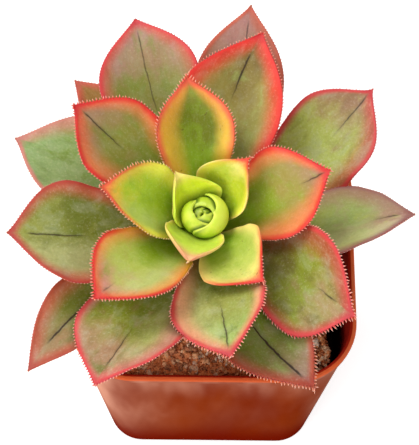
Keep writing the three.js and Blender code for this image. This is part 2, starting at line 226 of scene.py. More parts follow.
# Blades of the open leaves, as shares of their length or width where there is no unit
LEAF_STATIONS = 81
LEAF_AROUND = 57
FOOT_SHARE = 0.26
CUSP_POWER = 4
MARGIN_SHARE = 0.12
THINNING = 0.45
GROOVE_SHARE = 0.12
GROOVE_DEPTH = 0.22 * MM
SWALE_SHARE = 0.45
MERGE_DISTANCE = 0.002 * MM

# Pressing of a blade under the younger leaves
LEAF_CLEARANCE = 0.35 * MM
FURTHEST_PRESS = 6 * MM
RAY_DROP = 60 * MM
RAY_LENGTH = 120 * MM
PRESS_BLURS = (8, 6, 4)
LAST_BLUR = 2

# Margin hairs and spines
HAIR_SPACING = 0.74 * MM
HAIR_LENGTH = 0.95 * MM
HAIR_RADIUS = 0.23 * MM
HAIR_LEAN = 0.85
HAIR_ROOTS = 160
HAIR_SUNK = 0.15 * MM
HAIR_JITTER = 0.16
HAIR_SIZES = (0.65, 1.15)
HAIR_MARK = 0.05
LAST_HAIR = 0.992
SPINE_PLACE = 0.985
SPINE_LENGTH = 1 * MM
SPINE_RADIUS = 0.26 * MM
SPINE_SHORTEST = 0.4
SPINE_RISE = 0.2

# Inputs of the leaf trees, by name
SHAPE_NUMBERS = [
    "axis_x", "axis_y", "azimuth", "foot_r", "foot_z", "bend_r", "bend_z", "tip_r", "tip_z",
    "width", "widest", "power", "cusp", "curl", "sway", "roll", "thickness", "softness", "wave", "seed",
]
FINISH_NUMBERS = ["reach", "lean", "red_from", "line", "bloom", "dots", "wedge", "fair", "shade"]
STORED_NUMBERS = [*FINISH_NUMBERS, "streak_from", "streak_to", "seed"]
BUD_LENGTHS = ["radius", "lip", "top", "thickness"]
BUD_SHARES = ["tuck", "deep"]


def linear(code):
    """A #rrggbb colour as the linear RGBA that Blender works in."""
    parts = [int(code[k:k + 2], 16) / 255 for k in (1, 3, 5)]
    return [c / 12.92 if c <= 0.04045 else ((c + 0.055) / 1.055) ** 2.4 for c in parts] + [1]


class Socket:
    """A node's output, or one of a group's inputs. Arithmetic on it adds Math nodes."""

    def __init__(self, net, end):
        self.net = net
        self.end = end

    def __neg__(self):
        return self.net.maths("SUBTRACT", 0, self)

    def ramp(self, low, high):
        """0 below low, 1 above high, with a soft step between them."""
        sockets = {0: self, 1: low, 2: high, 3: 0, 4: 1}
        return self.net.add("ShaderNodeMapRange", {"interpolation_type": "SMOOTHSTEP"}, sockets)


def add_operator(name, operation):
    """Gives sockets a Python operator, with the socket on either side of it."""
    setattr(Socket, f"__{name}__", lambda one, other: one.net.maths(operation, one, other))
    setattr(Socket, f"__r{name}__", lambda one, other: one.net.maths(operation, other, one))


def add_method(name, operation):
    setattr(Socket, name, lambda one, *others: one.net.maths(operation, one, *others))


for python_name, node_name in {
    "add": "ADD", "sub": "SUBTRACT", "mul": "MULTIPLY", "truediv": "DIVIDE", "pow": "POWER",
}.items():
    add_operator(python_name, node_name)
for python_name, node_name in {
    "__abs__": "ABSOLUTE", "sin": "SINE", "cos": "COSINE", "sign": "SIGN",
    "at_least": "MAXIMUM", "at_most": "MINIMUM", "over": "GREATER_THAN",
}.items():
    add_method(python_name, node_name)


class Net:
    """A node tree while it is being built."""

    def __init__(self, tree):
        self.tree = tree

    def add(self, kind, settings=None, sockets=(), out=0):
        """Adds a node: its settings first, then the values or links of its sockets."""
        node = self.tree.nodes.new(kind)
        for name, value in (settings or {}).items():
            setattr(node, name, value)
        pairs = sockets.items() if isinstance(sockets, dict) else enumerate(sockets)
        for key, value in pairs:
            if isinstance(value, Socket):
                self.tree.links.new(value.end, node.inputs[key])
            elif isinstance(value, list) and isinstance(value[0], Socket):
                for link in value:
                    self.tree.links.new(link.end, node.inputs[key])
            else:
                node.inputs[key].default_value = value
        return Socket(self, node.outputs[out]) if len(node.outputs) else node

    def geo(self, kind, settings=None, out=0, **sockets):
        """Adds a geometry node, its sockets by name with _ for each space."""
        named = {name.replace("_", " "): value for name, value in sockets.items()}
        return self.add(f"GeometryNode{kind}", settings, named, out)

    def other(self, first, out):
        """A further output of the node that a socket belongs to."""
        return Socket(self, first.end.node.outputs[out])

    def maths(self, operation, *inputs):
        return self.add("ShaderNodeMath", {"operation": operation}, inputs)

    def vectors(self, operation, *inputs, out=0):
        return self.add("ShaderNodeVectorMath", {"operation": operation}, inputs, out)

    def scaled(self, vector, amount):
        return self.add("ShaderNodeVectorMath", {"operation": "SCALE"}, {0: vector, "Scale": amount})

    def vector(self, x, y, z):
        return self.add("ShaderNodeCombineXYZ", {}, [x, y, z])

    def split(self, vector):
        x = self.add("ShaderNodeSeparateXYZ", {}, [vector])
        return x, self.other(x, 1), self.other(x, 2)

    def mix(self, share, one, other):
        """The colour one, with share of the colour other."""
        settings = {"data_type": "RGBA", "clamp_factor": True}
        return self.add("ShaderNodeMix", settings, {0: share, 6: one, 7: other}, 2)

    def coats(self, colour, *coats):
        """A colour under coats of (share, #rrggbb or another colour), the last one on top."""
        for share, hue in coats:
            colour = self.mix(share, colour, linear(hue) if isinstance(hue, str) else hue)
        return colour

    def noise(self, where, scale, detail=2, roughness=0.5, distortion=0):
        names = ("Vector", "Scale", "Detail", "Roughness", "Distortion")
        sockets = dict(zip(names, (where, scale, detail, roughness, distortion)))
        return self.add("ShaderNodeTexNoise", {"noise_dimensions": "3D"}, sockets)

    def random(self, low, high, seed):
        """A random number, or vector, from low to high for each thing."""
        if isinstance(low, tuple):
            sockets = {0: low, 1: high, "Seed": seed}
            return self.add("FunctionNodeRandomValue", {"data_type": "FLOAT_VECTOR"}, sockets)
        sockets = {2: low, 3: high, "Seed": seed}
        return self.add("FunctionNodeRandomValue", {"data_type": "FLOAT"}, sockets, 1)

    def store(self, geometry, kind="FLOAT", domain="POINT", **values):
        settings = {"data_type": kind, "domain": domain}
        for name, value in values.items():
            sockets = dict(Geometry=geometry, Name=name, Value=value)
            geometry = self.geo("StoreNamedAttribute", settings, **sockets)
        return geometry

    def stored(self, name, kind="FLOAT"):
        """A stored attribute in a geometry tree."""
        return self.geo("InputNamedAttribute", {"data_type": kind}, Name=name)

    def attributes(self, names, out=2):
        """Stored attributes in a material: out is 0 for colours, 1 vectors, 2 numbers."""
        found = [self.add("ShaderNodeAttribute", {"attribute_name": name}, (), out) for name in names.split()]
        return found if len(found) > 1 else found[0]


def new_tree(name, inputs, outputs=("Geometry",), kind="Geometry"):
    """An empty Geometry Nodes tree with outputs of one kind, and its inputs as sockets by name."""
    tree = bpy.data.node_groups.new(name, "GeometryNodeTree")
    for label in outputs:
        tree.interface.new_socket(name=label, in_out="OUTPUT", socket_type=f"NodeSocket{kind}")
    for label, form in inputs.items():
        tree.interface.new_socket(name=label, in_out="INPUT", socket_type=f"NodeSocket{form}")
    start = tree.nodes.new("NodeGroupInput")
    net = Net(tree)
    return net, SimpleNamespace(**{label: Socket(net, start.outputs[label]) for label in inputs})


def end_tree(net, *results):
    end = net.tree.nodes.new("NodeGroupOutput")
    for result, socket in zip(results, end.inputs):
        net.tree.links.new(result.end, socket)
    return net.tree


def grow(name, tree, values, source=None):
    """Runs a Geometry Nodes tree with these inputs, and keeps its result as a plain mesh."""
    carrier = add_object(name, source or bpy.data.meshes.new(name))
    modifier = carrier.modifiers.new("grown", "NODES")
    modifier.node_group = tree
    for item in tree.interface.items_tree:
        if item.item_type == "SOCKET" and item.in_out == "INPUT" and item.name in values:
            modifier[item.identifier] = values[item.name]
    carrier.update_tag()
    mesh = evaluated_mesh(carrier)
    carrier.modifiers.remove(modifier)
    bpy.data.objects.remove(carrier)
    mesh.name = name
    smooth(mesh)
    return add_object(name, mesh)


def add_object(name, data):
    piece = bpy.data.objects.new(name, data)
    bpy.context.scene.collection.objects.link(piece)
    return piece


def evaluated_mesh(piece):
    return bpy.data.meshes.new_from_object(piece.evaluated_get(bpy.context.evaluated_depsgraph_get()))


def smooth(mesh):
    mesh.polygons.foreach_set("use_smooth", [True] * len(mesh.polygons))


def place_piece(piece, node):
    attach(piece, "root")
    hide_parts(node)


def axis_at(height):
    """The leaning stem axis at a height, all in millimetres."""
    rise = height - SOIL_TOP / MM
    return [AXIS_AT_SOIL[k] + AXIS_LEAN[k] * rise for k in (0, 1)]


def read_along(places, values, at):
    """Straight-line reading of values over rising places."""
    for k in range(1, len(places)):
        if at <= places[k] or k == len(places) - 1:
            share = min(1, max(0, (at - places[k - 1]) / (places[k] - places[k - 1])))
            return values[k - 1] + (values[k] - values[k - 1]) * share


def sheet(net, stations, around):
    """A flat grid to bend into a closed skin: t runs from 0 to 1 along it, the angle round it."""
    grid = net.geo("MeshGrid", Size_X=1, Size_Y=1, Vertices_X=stations, Vertices_Y=around)
    x, y, _ = net.split(net.geo("InputPosition"))
    return grid, x + 0.5, (y + 0.5) * TAU


def gathered(net, collection):
    """All the meshes of a collection as one."""
    pieces = net.geo("CollectionInfo", {"transform_space": "ORIGINAL"}, Collection=collection)
    return net.geo("RealizeInstances", Geometry=pieces)


def store_gap_shade(net, geometry, others):
    """Stores how near the other meshes each place lies, in millimetres, for the painted shade near them."""
    near = net.geo("Proximity", {"target_element": "FACES"}, Target=others)
    return net.store(geometry, crease=net.other(near, 1) / MM)


def dressed(net, geometry, material):
    geometry = net.geo("RealizeInstances", Geometry=geometry)
    return net.geo("SetMaterial", Geometry=geometry, Material=material)


# Open leaves

def shape_tree():
    """Node group for the leaf's surface, along the midrib and at an angle round its section.

    The midrib is a quadratic curve in the upright plane of the leaf. The section is a lens bent to
    an arc, with both margins raised. Grown widens the leaf. Gives the place and the half width.
    """
    inputs = dict.fromkeys([*SHAPE_NUMBERS, "along", "angle", "grown"], "Float")
    net, given = new_tree("leaf shape", inputs, ("Place", "Half Width"), "Vector")
    t = given.along
    back = 1 - t
    r = back * back * given.foot_r + 2 * back * t * given.bend_r + t * t * given.tip_r
    z = back * back * given.foot_z + 2 * back * t * given.bend_z + t * t * given.tip_z
    dr = back * (given.bend_r - given.foot_r) + t * (given.tip_r - given.bend_r)
    dz = back * (given.bend_z - given.foot_z) + t * (given.tip_z - given.bend_z)
    length = (dr * dr + dz * dz) ** 0.5
    dr, dz = dr / length, dz / length

    neck = FOOT_SHARE + (1 - FOOT_SHARE) * t.ramp(0, given.widest)
    beyond = ((t - given.widest) / (1 - given.widest)).at_least(0)
    point = (1 - beyond ** given.power) * (1 - given.cusp * beyond ** CUSP_POWER)
    half = given.width / 2 * neck * point.at_least(0) * t.over(0.001) + given.grown

    side = given.angle.cos()
    face = given.angle.sin()
    ripple_at = net.vector(t * 5, side.sign() * 2, given.seed)
    ripple = (net.noise(ripple_at, 1, 1) - 0.5) * given.wave * side * side
    swale_at = net.vector(t * 4, side * 1.3, given.seed + 9)
    swale = (net.noise(swale_at, 1, 1) - 0.5) * given.wave * SWALE_SHARE
    bend = given.curl * side
    across = half * bend.sin() / given.curl + given.sway * 4 * t * back
    groove = (1 - abs(side) / GROOVE_SHARE).at_least(0) ** 2 * t.ramp(0.2, 0.8)
    swell = face.sign() * abs(face) ** given.softness
    margin = (half / (given.width * MARGIN_SHARE)).at_most(1)
    thick = given.thickness * (1 - THINNING * t) * margin
    fullness = (half / (given.width * 0.5)).at_most(1)
    up = half * (1 - bend.cos()) / given.curl + swell * thick / 2 + (ripple + swale) * fullness
    up = up - groove * GROOVE_DEPTH * fullness

    roll = given.roll * t
    across, up = across * roll.cos() - up * roll.sin(), across * roll.sin() + up * roll.cos()
    out = r - up * dz
    turn = given.azimuth
    place = net.vector(
        given.axis_x + out * turn.cos() - across * turn.sin(),
        given.axis_y + out * turn.sin() + across * turn.cos(),
        z + up * dr,
    )
    return end_tree(net, place, half)


def picked(given, names):
    return {name: getattr(given, name) for name in names}


def blade_shape(net, given):
    """A function that gives a place on the leaf's surface, and the half width there."""
    shape = shape_tree()

    def blade(t, angle, grown=0):
        sockets = picked(given, SHAPE_NUMBERS) | {"along": t, "angle": angle, "grown": grown}
        place = net.add("GeometryNodeGroup", {"node_tree": shape}, sockets)
        return place, net.other(place, 1)

    return blade


def hairless(net, collection):
    """A collection's meshes without their hairs."""
    hair = net.stored("hair").over(HAIR_MARK)
    pieces = gathered(net, collection)
    return net.geo("DeleteGeometry", {"domain": "POINT"}, Geometry=pieces, Selection=hair)


def press_depth(net, given, roof, along):
    """How far a blade is pressed down so that it lies under the younger leaves, smoothed."""
    found = net.geo(
        "Raycast", {"data_type": "FLOAT"},
        Target_Geometry=hairless(net, given.younger),
        Source_Position=net.vectors("SUBTRACT", roof, (0, 0, RAY_DROP)),
        Ray_Direction=(0, 0, 1),
        Ray_Length=RAY_LENGTH,
    )
    over = net.split(roof)[2] - net.split(net.other(found, 1))[2] + LEAF_CLEARANCE
    depth = (over.at_least(0) * found).at_most(FURTHEST_PRESS) * along.ramp(0.12, 0.34)
    pressed = depth
    for steps in PRESS_BLURS:
        blurred = net.geo("BlurAttribute", {"data_type": "FLOAT"}, Value=pressed, Iterations=steps)
        pressed = blurred.at_least(depth)
    return net.geo("BlurAttribute", {"data_type": "FLOAT"}, Value=pressed, Iterations=LAST_BLUR)


def blade_part(net, given, blade):
    """The fleshy blade, with the places on it stored for its material and for its hairs."""
    geometry, t, angle = sheet(net, LEAF_STATIONS, LEAF_AROUND)
    place, half = blade(t, angle)
    roof, _ = blade(t, math.pi - abs(angle - math.pi))
    rise = given.tip_z - given.foot_z
    run = given.tip_r - given.foot_r
    geometry = net.store(
        geometry,
        along=t,
        aside=half * angle.cos() / MM,
        edge=half * (1 - abs(angle.cos())) / MM,
        face=angle.sin(),
        hair=0,
        to_tip=(1 - t) * (rise * rise + run * run) ** 0.5 / MM,
        press=press_depth(net, given, roof, t),
    )
    loose = net.geo("SetPosition", Geometry=geometry, Position=place)
    drop = net.vector(0, 0, -net.stored("press"))
    laid = net.geo("SetPosition", Geometry=loose, Offset=drop)
    laid = net.geo("MergeByDistance", Geometry=laid, Distance=MERGE_DISTANCE)
    return store_gap_shade(net, laid, hairless(net, given.inner)), loose


def hair_shape(net, length, radius):
    """One tooth with its hair: broad at the root, thin from a third of its height."""
    tooth = net.geo(
        "MeshCone", {"fill_type": "NGON"}, Vertices=6, Side_Segments=5, Fill_Segments=1,
        Radius_Top=radius, Radius_Bottom=radius, Depth=length,
    )
    x, y, z = net.split(net.geo("InputPosition"))
    share = (z / length).at_least(0).at_most(1)
    waist = (1 - share ** 1.6).at_least(0)
    tooth = net.store(tooth, hair=share * 0.9 + 0.1)
    return net.geo("SetPosition", Geometry=tooth, Position=net.vector(x * waist, y * waist, z))


def margin_points(net, blade, loose, t, angle):
    """Where hairs stand at one margin of the laid blade, and which way they point."""
    place, _ = blade(t, angle, -HAIR_SUNK)
    further, _ = blade(t, angle, 1 * MM)
    ahead, _ = blade(t + 0.01, angle)
    edge, _ = blade(t, angle)
    outward = net.vectors("NORMALIZE", net.vectors("SUBTRACT", further, place))
    forward = net.vectors("NORMALIZE", net.vectors("SUBTRACT", ahead, edge))
    sockets = {"Mesh": loose, "Value": net.stored("press"), "Sample Position": place}
    drop = net.add("GeometryNodeSampleNearestSurface", {"data_type": "FLOAT"}, sockets)
    laid = net.vectors("SUBTRACT", place, net.vector(0, 0, drop))
    return laid, outward, forward


def pointing(net, direction):
    """The turn that brings the Z axis to a direction."""
    return net.add("FunctionNodeAlignRotationToVector", {"axis": "Z"}, {"Vector": direction})


def hair_part(net, given, blade, loose, side):
    """The toothed hairs along one margin: side is 0 for the left one and pi for the right."""
    line = net.geo("MeshLine", Count=HAIR_ROOTS)
    first = given.hairs.at_most(0.99)
    t = first + (LAST_HAIR - first) * net.geo("InputIndex") / (HAIR_ROOTS - 1)
    laid, outward, forward = margin_points(net, blade, loose, t, t * 0 + side)
    heading = net.vectors("ADD", outward, net.scaled(forward, HAIR_LEAN))
    geometry = net.store(net.store(line, "FLOAT_VECTOR", heading=heading), along=t)
    geometry = net.geo("SetPosition", Geometry=geometry, Position=laid)
    curve = net.geo("MeshToCurve", Mesh=geometry)
    points = net.geo("ResampleCurve", {"mode": "LENGTH"}, Curve=curve, Length=HAIR_SPACING)
    jitter = net.random((-HAIR_JITTER,) * 3, (HAIR_JITTER,) * 3, int(7 + side))
    aimed = net.vectors("ADD", net.stored("heading", "FLOAT_VECTOR"), jitter)
    size = net.random(*HAIR_SIZES, int(3 + side))
    return net.geo(
        "InstanceOnPoints",
        Points=points,
        Selection=1 - given.hairs.over(1),
        Instance=hair_shape(net, HAIR_LENGTH, HAIR_RADIUS),
        Rotation=pointing(net, aimed),
        Scale=net.vector(given.fur ** 0.5, given.fur ** 0.5, size * given.fur),
    )


def spine_part(net, given, blade, loose):
    """The stiff point that some tips end in."""
    line = net.geo("MeshLine", Count=1)
    t = net.geo("InputIndex") * 0 + SPINE_PLACE
    laid, _, forward = margin_points(net, blade, loose, t, t * 0)
    ahead_x, ahead_y, rise = net.split(forward)
    geometry = net.store(line, along=t)
    return net.geo(
        "InstanceOnPoints",
        Points=net.geo("SetPosition", Geometry=geometry, Position=laid),
        Selection=given.spine.over(0),
        Instance=hair_shape(net, SPINE_LENGTH, SPINE_RADIUS),
        Rotation=pointing(net, net.vector(ahead_x, ahead_y, rise * SPINE_RISE)),
        Scale=net.vector(1, 1, given.spine + SPINE_SHORTEST),
    )


def leaf_tree():
    """A whole open leaf, with its finish stored for its materials."""
    inputs = dict.fromkeys([*SHAPE_NUMBERS, "hairs", "fur", "spine", *STORED_NUMBERS], "Float")
    inputs |= dict.fromkeys(LEAF_COLOURS, "Color")
    inputs |= dict.fromkeys(["younger", "inner"], "Collection")
    inputs |= dict.fromkeys(["blade_material", "hair_material"], "Material")
    net, given = new_tree("open leaf", inputs)
    blade = blade_shape(net, given)
    laid, loose = blade_part(net, given, blade)
    parts = [laid, spine_part(net, given, blade, loose)]
    parts += [hair_part(net, given, blade, loose, side) for side in (0, math.pi)]
    leaf = net.geo("RealizeInstances", Geometry=net.geo("JoinGeometry", Geometry=parts))
    leaf = net.store(leaf, "FLOAT_COLOR", **picked(given, LEAF_COLOURS))
    leaf = net.store(leaf, **picked(given, STORED_NUMBERS))
    hair = net.stored("hair").over(HAIR_MARK)
    leaf = net.geo("SetMaterial", Geometry=leaf, Material=given.blade_material)
    leaf = net.geo("SetMaterial", Geometry=leaf, Selection=hair, Material=given.hair_material)
    return end_tree(net, leaf)


def faded(place, last, more, places):
    return last + more * math.exp(-place / places)


def leaf_values(leaf, finish):
    """A leaf's inputs, in metres and radians, from its place in the spiral and its own values."""
    place = leaf["place"]
    foot_z = FIRST_FOOT - FOOT_STEP * place
    foot_r = read_along(STEM_HEIGHTS, STEM_RADII, foot_z) - FOOT_DEPTH
    rise = math.radians(faded(place, *BLADE_RISE))
    run = math.hypot(leaf["reach"] - foot_r, leaf["tip"] - foot_z) / 2
    x, y = axis_at(foot_z)
    lengths = dict(
        axis_x=x, axis_y=y, foot_r=foot_r, foot_z=foot_z,
        bend_r=foot_r + run * math.cos(rise), bend_z=foot_z + run * math.sin(rise),
        tip_r=leaf["reach"], tip_z=leaf["tip"], width=leaf["width"], sway=leaf["sway"],
        thickness=BLADE_THICKNESS, wave=BLADE_WAVE,
    )
    angles = dict(
        azimuth=FIRST_AZIMUTH + GOLDEN_ANGLE * place + leaf["turn"],
        curl=faded(place, *BLADE_CURL), roll=leaf["roll"],
    )
    numbers = {name: leaf[name] for name in ("widest", "power", "cusp", "hairs", "fur", "spine")}
    numbers |= {name: finish[name] for name in FINISH_NUMBERS}
    numbers |= dict(zip(("streak_from", "streak_to"), finish["streak"]))
    numbers |= {name: length * MM for name, length in lengths.items()}
    numbers |= {name: math.radians(angle) for name, angle in angles.items()}
    numbers |= dict(softness=faded(place, *BLADE_SOFTNESS), seed=SEED_STEP * place + 1)
    values = {name: float(number) for name, number in numbers.items()}
    hues = zip(LEAF_COLOURS, finish["colours"].split())
    return values | {name: linear(PALETTE[hue]) for name, hue in hues}


def new_material(name):
    material = bpy.data.materials.new(name)
    material.use_nodes = True
    material.node_tree.nodes.clear()
    net = Net(material.node_tree)
    net.material = material
    return net


def end_material(net, colour, roughness, bump=None, **more):
    """Closes a material with its one shader. bump: the strength, depth and height of its relief."""
    sockets = {"Base Color": colour, "Roughness": roughness}
    sockets |= {name.replace("_", " "): value for name, value in more.items()}
    if bump:
        relief = dict(zip(("Strength", "Distance", "Height"), bump))
        sockets["Normal"] = net.add("ShaderNodeBump", {}, relief)
    surface = net.add("ShaderNodeBsdfPrincipled", {}, sockets)
    net.add("ShaderNodeOutputMaterial", {}, {"Surface": surface})
    return net.material


def soft_tissue(weight, *reach):
    """Shader values for light that enters a leaf and comes out redder, its reach in metres."""
    return {"Subsurface_Weight": weight, "Subsurface_Radius": reach, "Subsurface_Scale": 1}


def in_millimetres(net):
    """The place on the piece, in millimetres, for patterns at their real scale."""
    return net.scaled(net.add("ShaderNodeTexCoord", {}, (), 3), 1000)


def rim_redness(net, along, red_from):
    """How far a margin has turned from its pale colour to its own, along the leaf."""
    return along.ramp(red_from - 0.15, red_from + 0.25)


def leaf_material():
    """Fleshy blade: its colours run from the foot outwards and in from the margin, with painted light on one
    half and painted shade near younger leaves.
    """
    net = new_material("leaf flesh")
    along, aside, edge, face, seed, to_tip = net.attributes("along aside edge face seed to_tip")
    reach, lean, red_from, bloom, fair = net.attributes("reach lean red_from bloom fair")
    inner, outer, broad, wedge = net.attributes("streak_from streak_to line wedge")
    heart_hue, flesh_hue, tip_hue = net.attributes("heart flesh tip", 0)
    band_hue, rim_hue, pale_hue = net.attributes("band rim pale", 0)
    on_leaf = net.vector(aside, along * 30, seed)
    soft = net.noise(on_leaf, 0.16, 3)
    patch = net.noise(on_leaf, 0.24, 4, 0.6, 0.5)
    cloud = net.noise(net.vector(aside, along * 30, seed + 40), 0.3, 4, 0.6, 0.5)
    fibre = net.noise(net.vector(aside * 1.1, along * 9, seed), 1, 4, 0.6)
    fine = net.noise(in_millimetres(net), 1.8, 5, 0.75)

    # From the foot to the tip, in blotches
    ripe = along + (soft - 0.5) * 0.4
    green_blotch = patch.ramp(0.5, 0.68) * edge.ramp(1, 4) * (0.3 + bloom * 0.7).at_most(0.7)
    # Painted light: one half of the blade painted paler, standing in for light and sheen falling on that side
    lit_half_mask = (aside * fair.sign() + (cloud - 0.5) * 4).ramp(-1, 5) * along.ramp(0.3, 0.55)
    colour = net.coats(
        heart_hue,
        (ripe.ramp(0.3, 0.66), flesh_hue),
        (ripe.ramp(0.7 - bloom * 0.15, 0.97 - bloom * 0.12), tip_hue),
        (green_blotch, heart_hue),
        ((1 - patch).ramp(0.5, 0.7) * bloom.at_most(0.5), tip_hue),
        (lit_half_mask * abs(fair), "#dcdc9c"),
    )

    # The flushed band, then bloom, fibres and grit over it
    wide = reach * (1 + lean * aside.sign())
    inward = edge / (edge + abs(aside) + 0.01)
    from_edge = edge + (soft - 0.5) * reach * 0.9 + (1 - along.ramp(0.1, 0.5)) * reach
    band = 1 - (from_edge + wedge * inward ** 2).ramp(wide * 0.3, wide * 1.75)
    grit = 0.1 + bloom * 0.25
    colour = net.coats(
        colour,
        (band * 0.9, net.mix(along.ramp(0.55, 1) * 0.6, band_hue, rim_hue)),
        (cloud.ramp(0.46, 0.7) * bloom * 0.55, "#b9c0a2"),
        ((1 - cloud).ramp(0.46, 0.7) * bloom * 0.4, "#54461f"),
        (fibre.ramp(0.5, 0.8) * 0.07, "#dfe09a"),
        ((1 - fibre).ramp(0.5, 0.8) * 0.1, "#4a5214"),
        (fine.ramp(0.5, 0.75) * grit, "#f2efd4"),
        ((1 - fine).ramp(0.5, 0.75) * grit, "#3c4412"),
    )

    # The margin and the tip
    redness = rim_redness(net, along + (soft - 0.5) * 0.2, red_from)
    rim_wide = (0.5 + reach * 0.35) * (0.2 + cloud * 1.5)
    rim = 1 - (edge + (patch - 0.5) * 0.6 - redness * 0.3).ramp(0.1, rim_wide)
    apex = 1 - (to_tip + (fine - 0.5) * 1.5).ramp(1, 3.6)
    verge = (1 - edge.ramp(0.05, 0.4)) * redness * patch.ramp(0.35, 0.6)
    colour = net.coats(
        colour,
        (rim * 0.95, net.mix(redness, pale_hue, rim_hue)),
        (apex * 0.8, net.mix((0.75 - red_from).at_least(0) * 0.8, rim_hue, linear("#8a1030"))),
        (verge * 0.5, "#a01232"),
    )

    # The dark line on the midrib, dots, and the shade under younger leaves
    wiggle = (net.noise(on_leaf, 0.5, 2) - 0.5) * 0.7 + (net.noise(on_leaf, 2.4, 2) - 0.5) * 0.22
    off_line = abs(aside + wiggle)
    width = (0.03 + along.ramp(inner, outer) * 0.12 + (patch - 0.5) * 0.2) * broad
    line = (1 - off_line.ramp(width * 0.4, width + 0.14)) * (0.35 + broad * 0.25).at_most(0.8)
    line_shade = (1 - off_line.ramp(0.1, broad * 0.7)) * 0.22
    reached = along.ramp(inner, inner + 0.15) * (1 - along.ramp(outer - 0.03, outer + 0.02))
    streak = (line + line_shade).at_most(1) * reached * face.ramp(0, 0.2)
    speck = net.noise(on_leaf, 0.9, 1).ramp(0.73, 0.77) * net.attributes("dots")
    # Painted shade: the blade darkened where it lies close under younger leaves and the bud
    crease = 1 - net.attributes("crease").ramp(0.2, 2.6)
    colour = net.coats(
        colour,
        (streak, "#32200f"),
        (speck * edge.ramp(1, 2) * 0.6, "#5a4410"),
        (crease * net.attributes("shade"), "#33400c"),
        ((-face).ramp(0.1, 0.5) * 0.45, "#c98a78"),
    )
    relief = (0.3, 0.0003, fine * 0.7 + fibre * 0.4 + patch * 1.5)
    glow = soft_tissue(0.2, 0.0012, 0.0007, 0.0003)
    return end_material(net, colour, 0.38 + fine * 0.16, relief, **glow, Specular_IOR_Level=0.3)


def hair_material():
    """Margin teeth and hairs: the margin's colour at the root, whitish and clearer at the tip."""
    net = new_material("margin hair")
    along, red_from, hair = net.attributes("along red_from hair")
    pale_hue, rim_hue = net.attributes("pale rim", 0)
    root = net.mix(rim_redness(net, along, red_from), pale_hue, rim_hue)
    colour = net.coats(root, (hair.ramp(0.2, 0.8) * 0.75, "#f0b09a"))
    glow = soft_tissue(0.5, 0.0008, 0.0005, 0.0004)
    return end_material(net, colour, 0.5, **glow, Specular_IOR_Level=0.3)


def read_row(row, columns, defaults):
    """The values of a table's row by name: those in columns first, then what differs from defaults."""
    *plain, more = row
    return defaults | dict(zip(columns, plain)) | more


def make_leaves(bud, flesh, hair):
    """The open leaves, youngest first, each pressed down under the younger ones."""
    tree = leaf_tree()
    younger = bpy.data.collections.new("younger leaves")
    inner = bpy.data.collections.new("bud and younger leaves")
    inner.objects.link(bud)
    others = {"younger": younger, "inner": inner, "blade_material": flesh, "hair_material": hair}
    for k, (leaf_row, finish_row) in enumerate(zip(LEAVES, FINISHES)):
        node = f"leaf_{k + 1:02d}"
        finish = read_row(finish_row, FINISH_COLUMNS, FINISH_DEFAULTS)
        values = leaf_values(read_row(leaf_row, LEAF_COLUMNS, LEAF_DEFAULTS), finish)
        piece = grow(f"open_{node}", tree, values | others)
        younger.objects.link(piece)
        inner.objects.link(piece)
        place_piece(piece, node)
    bpy.data.collections.remove(younger)
    bpy.data.collections.remove(inner)


# Bud

def bud_tree():
    """One closed leaf: a thick shell that stands round the axis and leans in over the tip."""
    numbers = ["axis_x", "axis_y", "azimuth", "wrap", *BUD_LENGTHS, *BUD_SHARES]
    net, given = new_tree("closed leaf", dict.fromkeys(numbers, "Float") | {"material": "Material"})
    geometry, t, angle = sheet(net, BUD_STATIONS, BUD_AROUND)
    side = angle.cos()
    face = angle.sin()
    rising = (t / BUD_BEND).at_most(1)
    closing = ((t - BUD_BEND) / (1 - BUD_BEND)).at_least(0)
    tilt = closing * (math.pi / 2)
    swollen = BUD_FOOT_RADIUS + (given.radius - BUD_FOOT_RADIUS) * (rising * (math.pi / 2)).sin()
    radius = given.lip + (swollen - given.lip) * tilt.cos()
    height = BUD_FOOT + (BUD_WIDEST - BUD_FOOT) * rising + (given.top - BUD_WIDEST) * tilt.sin()
    share = (1 - closing ** 2.4).at_least(0)
    open_ends = t.over(0.001) * (1 - t.over(0.999))
    swell = face.sign() * abs(face) ** 0.7
    depth = given.thickness * (1 - swell) / 2 * open_ends
    radius = radius - given.radius * given.tuck * side * side * share
    turn = given.azimuth + given.wrap * share * side * open_ends
    out = radius - depth * tilt.cos()
    place = net.vector(
        given.axis_x + out * turn.cos(), given.axis_y + out * turn.sin(), height - depth * tilt.sin(),
    )
    edge = (given.wrap * share * (1 - abs(side))) * radius / MM
    geometry = net.store(geometry, along=t, edge=edge, face=face, deep=given.deep)
    geometry = net.geo("SetPosition", Geometry=geometry, Position=place)
    geometry = net.geo("MergeByDistance", Geometry=geometry, Distance=MERGE_DISTANCE)
    return end_tree(net, dressed(net, geometry, given.material))


def gap_shade_tree():
    """Stores how near the other closed leaves each place lies, in millimetres, for the painted shade in the
    gaps.
    """
    inputs = {"geometry": "Geometry", "others": "Collection", "material": "Material"}
    net, given = new_tree("bud creases", inputs)
    geometry = store_gap_shade(net, given.geometry, gathered(net, given.others))
    return end_tree(net, dressed(net, geometry, given.material))


